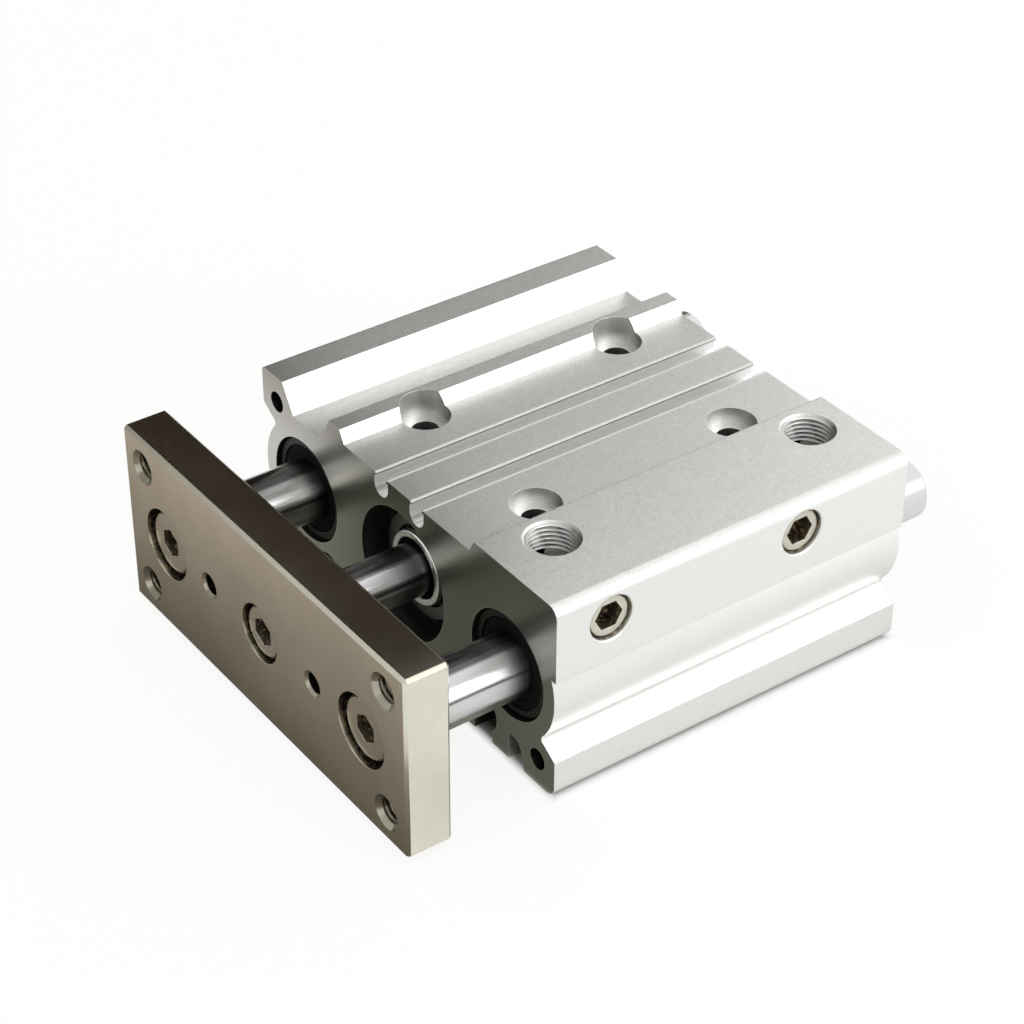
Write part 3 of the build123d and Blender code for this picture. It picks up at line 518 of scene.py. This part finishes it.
paints = {
    "body_anodised": anodised("body_anodised"),
    "plate_nickel": nickel("plate_nickel", (0.68, 0.66, 0.56, 1), (0.86, 0.84, 0.72, 1), 0.15,
                           reach=(3.5, 0.25, 0.75), nicks=0.8, shades=plate_shades),
    "screw_nickel": nickel("screw_nickel", (0.66, 0.63, 0.54, 1), (0.80, 0.78, 0.68, 1), 0.24,
                           edge=0.2),
    "rod_chrome": chrome("rod_chrome"),
    "cover_alloy": turned("cover_alloy", 0.20, 0.38),
    "pressed_steel": turned("pressed_steel", 0.90, 0.26, shade=0.1),
    "bush_bronze": turned("bush_bronze", 0.42, 0.4, warm=0.2),
    "ring_steel": turned("ring_steel", 0.12, 0.4),
    "bearing_steel": turned("bearing_steel", 0.035, 0.4),
    "seal_rubber": dull("seal_rubber", grey(0.004), grey(0.012), 0.75),
    "cage_resin": dull("cage_resin", grey(0.02), grey(0.05), 0.45),
    "wear_resin": dull("wear_resin", (0.42, 0.38, 0.31, 1), (0.56, 0.51, 0.43, 1), 0.5),
    "magnet_ferrite": dull("magnet_ferrite", (0.06, 0.06, 0.065, 1), (0.10, 0.10, 0.105, 1), 0.6),
    "bumper_urethane": dull("bumper_urethane", (0.50, 0.38, 0.22, 1), (0.62, 0.50, 0.33, 1), 0.4),
}

slot_of = {row["node"]: row["material_slot"] for row in frame["record"]["subparts"]}
for name, thing in nodes.items():
    paint = paints[slot_of[name]]
    if not thing.material_slots:
        thing.data.materials.append(paint)
    for slot in thing.material_slots:
        slot.material = paint


def finish_piece(shape, name, paint, body, sharp=32.0):
    """Makes a piece that rides on a body, smooth except at edges sharper than an angle."""
    bmesh.ops.recalc_face_normals(shape, faces=shape.faces)
    for face in shape.faces:
        face.smooth = True
    for edge in shape.edges:
        if len(edge.link_faces) == 2 and edge.calc_face_angle() > math.radians(sharp):
            edge.smooth = False
    for vertex in shape.verts:
        vertex.co *= MM
    mesh = bpy.data.meshes.new(name)
    shape.to_mesh(mesh)
    shape.free()
    mesh.materials.append(paints[paint])
    thing = bpy.data.objects.new(name, mesh)
    scene.collection.objects.link(thing)
    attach(thing, body)
    return thing


def upright(x, y):
    """Places round a line along z."""
    return lambda far, turn, z: (x + far * math.cos(turn), y + far * math.sin(turn), z)


def lengthwise(x, z):
    """Places round a line along y."""
    return lambda far, turn, y: (x + far * math.cos(turn), y, z + far * math.sin(turn))


def add_ring(shape, place, level, steps, radius_at):
    """Adds points round a line, at a radius that may change with the share of a turn."""
    ring = []
    for i in range(steps):
        share = i / steps
        point = place(radius_at(share, level), 2 * math.pi * share, level)
        ring.append(shape.verts.new(point))
    return ring


def bridge(shape, a, b):
    """Adds the faces between two rings, of which one may be a single point."""
    steps = max(len(a), len(b))
    if steps == 1:
        return
    for i in range(steps):
        j = (i + 1) % steps
        if len(a) == 1:
            shape.faces.new((a[0], b[j], b[i]))
        elif len(b) == 1:
            shape.faces.new((a[i], a[j], b[0]))
        else:
            shape.faces.new((a[i], a[j], b[j], b[i]))


def turned_rod(name, x, outline):
    """A rod along y, from a closed outline of (y, radius) points."""
    shape = bmesh.new()
    rings = []
    for y, radius in outline:
        steps = ROD_STEPS if radius else 1
        rings.append(add_ring(shape, lengthwise(x, AXIS_Z), y, steps, lambda share, level: radius))
    for a, b in zip(rings, rings[1:] + rings[:1]):
        bridge(shape, a, b)
    return finish_piece(shape, name, "rod_chrome", "carriage", 20.0)


def add_thread(shape, place, low, high, crest, root, pitch, steps):
    """Adds an inside thread as a thin sleeve, helical inside and plain outside."""
    def radius_at(share, level):
        phase = (level / pitch - share) % 1.0
        slope = 1.0 - abs(2 * phase - 1.0)
        bite = min(1.0, max(0.0, slope * 1.25 - 0.125))
        return root - (root - crest) * bite

    def outside(share, level):
        return root + 0.01

    rows = max(8, int((high - low) / pitch * 8))
    levels = [low + (high - low) * row / rows for row in range(rows + 1)]
    rings = [add_ring(shape, place, low, steps, outside)]
    rings += [add_ring(shape, place, level, steps, radius_at) for level in levels]
    rings.append(add_ring(shape, place, high, steps, outside))
    for a, b in zip(rings, rings[1:] + rings[:1]):
        bridge(shape, a, b)


# Threads of the two ports
for label, y in (("front", PORT_FRONT_Y), ("rear", PORT_REAR_Y)):
    shape = bmesh.new()
    add_thread(shape, upright(PORT_X, y), TOP_Z - 5.6, TOP_Z - 0.42,
               crest=4.28, root=4.83, pitch=0.907, steps=72)
    finish_piece(shape, "port_thread_" + label, "body_anodised", "housing")

# Threads of the four plate taps
shape = bmesh.new()
for x in (-PLATE_TAP_X, PLATE_TAP_X):
    for z in (AXIS_Z - PLATE_TAP_Z, AXIS_Z + PLATE_TAP_Z):
        add_thread(shape, lengthwise(x, z), PLATE_FRONT + PLATE_COUNTERSINK,
                   PLATE_BACK - PLATE_COUNTERSINK, crest=2.22, root=2.48, pitch=1.0, steps=48)
finish_piece(shape, "plate_threads", "plate_nickel", "carriage")


def rod_outline(radius, tap_radius, middle_y, rear):
    """A rod with a chamfer and a tapped hole at the plate, closed by the points of its rear."""
    tap_floor = PLATE_BACK + ROD_TAP_DEPTH
    return [(PLATE_BACK, tap_radius), (PLATE_BACK, radius - ROD_CHAMFER),
            (PLATE_BACK + ROD_CHAMFER, radius), (middle_y, radius), *rear,
            (tap_floor, 0.0), (tap_floor, tap_radius)]


# Rods with fine polished surfaces in place of the faceted ones
guide_rear = [
    (GUIDE_REAR - 1.15, GUIDE_RADIUS), (GUIDE_REAR - 0.95, GUIDE_RADIUS - 0.06),
    (GUIDE_REAR - 0.1, GUIDE_RADIUS - 0.9), (GUIDE_REAR, GUIDE_RADIUS - 1.1),
    (GUIDE_REAR, 1.3), (GUIDE_REAR - 1.1, 0.9), (GUIDE_REAR - 1.5, 0.0),
]
for label, x in (("guide_rod_left", -GUIDE_X), ("guide_rod_right", GUIDE_X)):
    outline = rod_outline(GUIDE_RADIUS, GUIDE_TAP_RADIUS, 0.0, guide_rear)
    rod = turned_rod(label + "_polished", x, outline)
    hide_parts(label)

SHOULDER_Y = 4.55
NECK_RADIUS = 3.5
SCREW_RADIUS = 2.05
SCREW_END = 1.15
piston_rear = [
    (SHOULDER_Y, PISTON_ROD_RADIUS), (SHOULDER_Y, NECK_RADIUS), (PISTON_ROD_REAR, NECK_RADIUS),
    (PISTON_ROD_REAR, SCREW_RADIUS), (SCREW_END, SCREW_RADIUS), (SCREW_END, 0.0),
]
outline = rod_outline(PISTON_ROD_RADIUS, PISTON_ROD_TAP_RADIUS, -30.0, piston_rear)
rod = turned_rod("piston_rod_polished", 0.0, outline)
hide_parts("piston_rod")

# The sky is dimmer as light than it looks
world = bpy.data.worlds.new("world")
scene.world = world
world.use_nodes = True
sky = Graph(world.node_tree)
path = sky.add("LightPath").outputs
looks = sky.most(path["Is Camera Ray"], path["Is Glossy Ray"], path["Is Transmission Ray"])
lit = sky.add("Background", {"Color": (1, 1, 1, 1), "Strength": 0.75}).outputs[0]
seen = sky.add("Background", {"Color": (1, 1, 1, 1), "Strength": 1.0}).outputs[0]
both = sky.add("MixShader", {0: looks, 1: lit, 2: seen}).outputs[0]
sky.add("OutputWorld", {"Surface": both})


def card(name, corners, paint, solid=False):
    """A flat card of the stage. Only reflections see it, unless it is solid."""
    mesh = bpy.data.meshes.new(name)
    mesh.from_pydata([Vector(corner) * MM for corner in corners], [], [(0, 1, 2, 3)])
    mesh.materials.append(paint)
    thing = bpy.data.objects.new(name, mesh)
    scene.collection.objects.link(thing)
    thing.visible_camera = solid
    thing.visible_shadow = solid
    thing.visible_diffuse = solid


def level_card(name, low, high, z, paint, solid=False):
    """A level card between two corners, given as (x, y)."""
    corners = [(low[0], low[1], z), (high[0], low[1], z), (high[0], high[1], z), (low[0], high[1], z)]
    card(name, corners, paint, solid)


def glow(name, color):
    ink = Shader(name)
    return ink.show(ink.add("Emission", {"Color": color, "Strength": 1.0}))


def floor_paint():
    """A white floor that glows to the camera and to reflections, but not under the body, where a
    painted shadow lies.
    """
    ink = Shader("floor")
    base = ink.add("BsdfDiffuse", {"Color": (0.95, 0.95, 0.945, 1)}).outputs[0]
    white = ink.add("Emission", {"Color": (1, 1, 0.992, 1), "Strength": 1.03}).outputs[0]
    # Painted shadow: the floor under the body is dark
    under = ink.add("BsdfDiffuse", {"Color": (0.10, 0.10, 0.09, 1)}).outputs[0]
    path = ink.add("LightPath").outputs
    x, y, _ = ink.place()
    away = ink.most(ink.off(x, SIDE_X), ink.off(y, REAR_Y))
    mirror = ink.most(path["Is Glossy Ray"], path["Is Transmission Ray"])
    glowing = ink.most(ink.times(path["Is Camera Ray"], 0.86),
                       ink.times(mirror, ink.ramp(away, 0.0, 25.0, 0.36, 0.58)))
    glowing = ink.times(glowing, ink.above(away, -1.0, 2.0))
    both = ink.add("MixShader", {0: glowing, 1: base, 2: white}).outputs[0]
    # Painted shade: near the body its reflections are darker than the floor looks
    dimmed = ink.times(mirror, ink.ramp(away, -3.0, 30.0, 0.18, 0.01))
    clear = ink.minus(ink.above(away, -3.0, 3.0), dimmed, True)
    return ink.show(ink.add("MixShader", {0: clear, 1: under, 2: both}))


def brown_paint():
    """A glow that paints the reflection of a shaded floor, dark brown near the plate and light ahead
    of it, stronger on the left.
    """
    ink = Shader("brown_card")
    x, y, _ = ink.place()
    ahead = ink.ramp(y, -69.0, -104.0, 0.0, 1.0)
    color = ink.mix(ahead, (0.12, 0.105, 0.087, 1), (0.45, 0.39, 0.345, 1))
    strength = ink.ramp(x, -20.0, -70.0, 1.0, 1.22, True)
    return ink.show(ink.add("Emission", {"Color": color, "Strength": strength}))


FLOOR_REACH = 3000.0
CARD_Z = 0.4
level_card("floor", (-FLOOR_REACH, -FLOOR_REACH), (FLOOR_REACH, FLOOR_REACH), -0.1,
           floor_paint(), True)

# Cards on the floor before the plate and under the gap, seen only in reflections, paint the
# reflection of a shaded floor
level_card("front_card", (-450, -500), (60, -69), CARD_Z, brown_paint())
level_card("gap_card", (-60, -60), (46, -39), CARD_Z, glow("gap_card", (0.24, 0.243, 0.20, 1)))

# A narrow dark card over the gap shades the plate's top and the upper side of the rods
dark = glow("dark_card", (0.034, 0.025, 0.018, 1))
level_card("top_flag", (-100, -52), (14, -22), 75, dark)

# A leaning dark card on the far left shades the top faces
card("left_flag", [(-550, -200, 0), (-550, 520, 0), (-480, 520, 600), (-480, -200, 600)], dark)

# A dark strip along the horizon draws the thin dark line on the rods
card("far_strip", [(130, -80, 21), (130, 35, 21), (130, 35, 35), (130, -80, 35)], dark)

# One key lamp behind the body on its right
KEY_PLACE = Vector((750, 450, 450)) * MM
KEY_AIM = Vector((0, 0, 20)) * MM
key_data = bpy.data.lights.new("key", "AREA")
key_data.shape = "RECTANGLE"
key_data.size = 600 * MM
key_data.size_y = 500 * MM
key_data.energy = 2.2
key = bpy.data.objects.new("key", key_data)
scene.collection.objects.link(key)
key.location = KEY_PLACE
key.rotation_euler = (KEY_AIM - KEY_PLACE).to_track_quat("-Z", "Y").to_euler()
